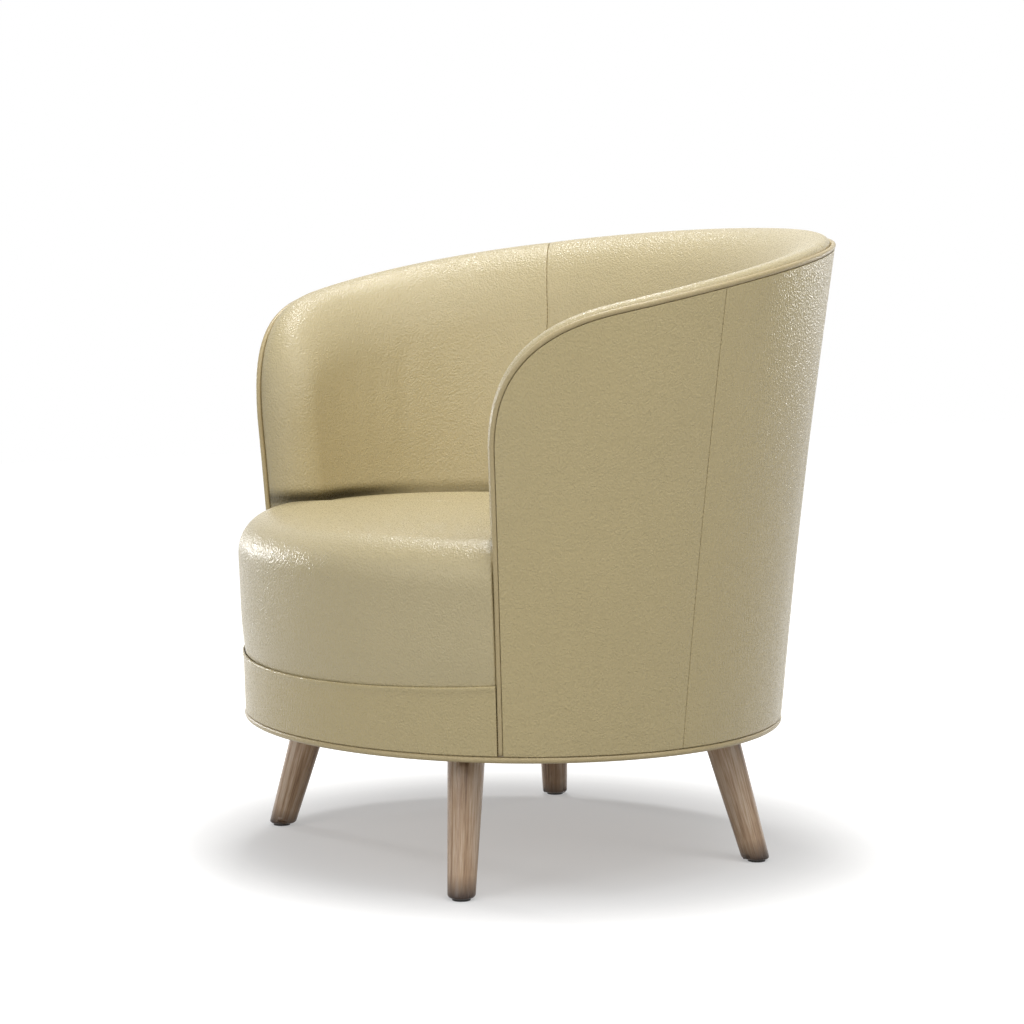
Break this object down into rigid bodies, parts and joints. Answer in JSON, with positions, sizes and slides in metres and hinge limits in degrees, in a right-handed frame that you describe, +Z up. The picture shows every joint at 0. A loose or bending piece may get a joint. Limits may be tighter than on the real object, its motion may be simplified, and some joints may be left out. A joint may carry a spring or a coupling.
{
  "type": "swivel chair",
  "caption": "Barrel-backed leather armchair with welted rim, deep tight seat and front band, turning on a hidden swivel over four splayed tapered wooden legs.",
  "frame": {"origin": "on the floor, under the middle of the chair's outline", "axes": "+Z up, the chair faces -Y, +X towards the sitter's left arm"},
  "size_m": [0.845, 0.7324, 0.7861],
  "materials": {
    "leather": "satin",
    "leg_wood": "satin",
    "glide_nylon": "satin",
    "zinc_hardware": "satin",
    "steel": "satin",
    "plywood": "matte",
    "frame_beech": "matte",
    "fibreboard": "matte",
    "foam": "matte",
    "dust_cloth": "matte",
    "deck_cloth": "matte"
  },
  "bodies": {
    "leg_base": {"front_left_leg": "leg_wood", "front_right_leg": "leg_wood", "back_left_leg": "leg_wood", "back_right_leg": "leg_wood", "foot_glides": "glide_nylon", "hanger_bolts": "zinc_hardware", "leg_plates": "steel", "leg_plate_screws": "zinc_hardware", "base_platform": "plywood", "lower_swivel_plate": "steel", "lower_race": "steel", "lower_plate_screws": "zinc_hardware", "king_pin": "zinc_hardware"},
    "ball_ring": {"ball_cage": "steel", "bearing_balls": "steel"},
    "tub": {"upper_swivel_plate": "steel", "upper_race": "steel", "upper_plate_screws": "zinc_hardware", "bottom_ring": "plywood", "swivel_board_panel": "plywood", "front_rail": "frame_beech", "left_rail": "frame_beech", "right_rail": "frame_beech", "back_rail": "frame_beech", "left_arm_post": "frame_beech", "right_arm_post": "frame_beech", "back_uprights": "frame_beech", "top_rail": "frame_beech", "back_board": "plywood", "left_board": "plywood", "right_board": "plywood", "back_liner": "fibreboard", "left_liner": "fibreboard", "right_liner": "fibreboard", "back_foam": "foam", "left_arm_foam": "foam", "right_arm_foam": "foam", "inner_back_cover": "leather", "left_inner_cover": "leather", "right_inner_cover": "leather", "back_outer_cover": "leather", "left_rear_cover": "leather", "right_rear_cover": "leather", "left_arm_cover": "leather", "right_arm_cover": "leather", "rim_welt_cord": "leather", "front_band": "leather", "hem_welt_cord": "leather", "dust_cover": "dust_cloth", "seat_springs": "steel", "spring_clips": "zinc_hardware", "deck_cloth_sheet": "deck_cloth", "seat_foam": "foam", "seat_cover": "leather"}
  },
  "joints": [
    {"name": "swivel", "type": "hinge", "parent": "leg_base", "child": "tub", "pos_m": [0, -0.0243, 0.2], "axis": [0, 0, 1], "continuous": true},
    {"name": "ball_ring_turn", "type": "hinge", "parent": "leg_base", "child": "ball_ring", "pos_m": [0, -0.0243, 0.2], "axis": [0, 0, 1], "continuous": true}
  ],
  "couplings": [
    {"joint": "ball_ring_turn", "follows": "swivel", "ratio": 0.5}
  ]
}
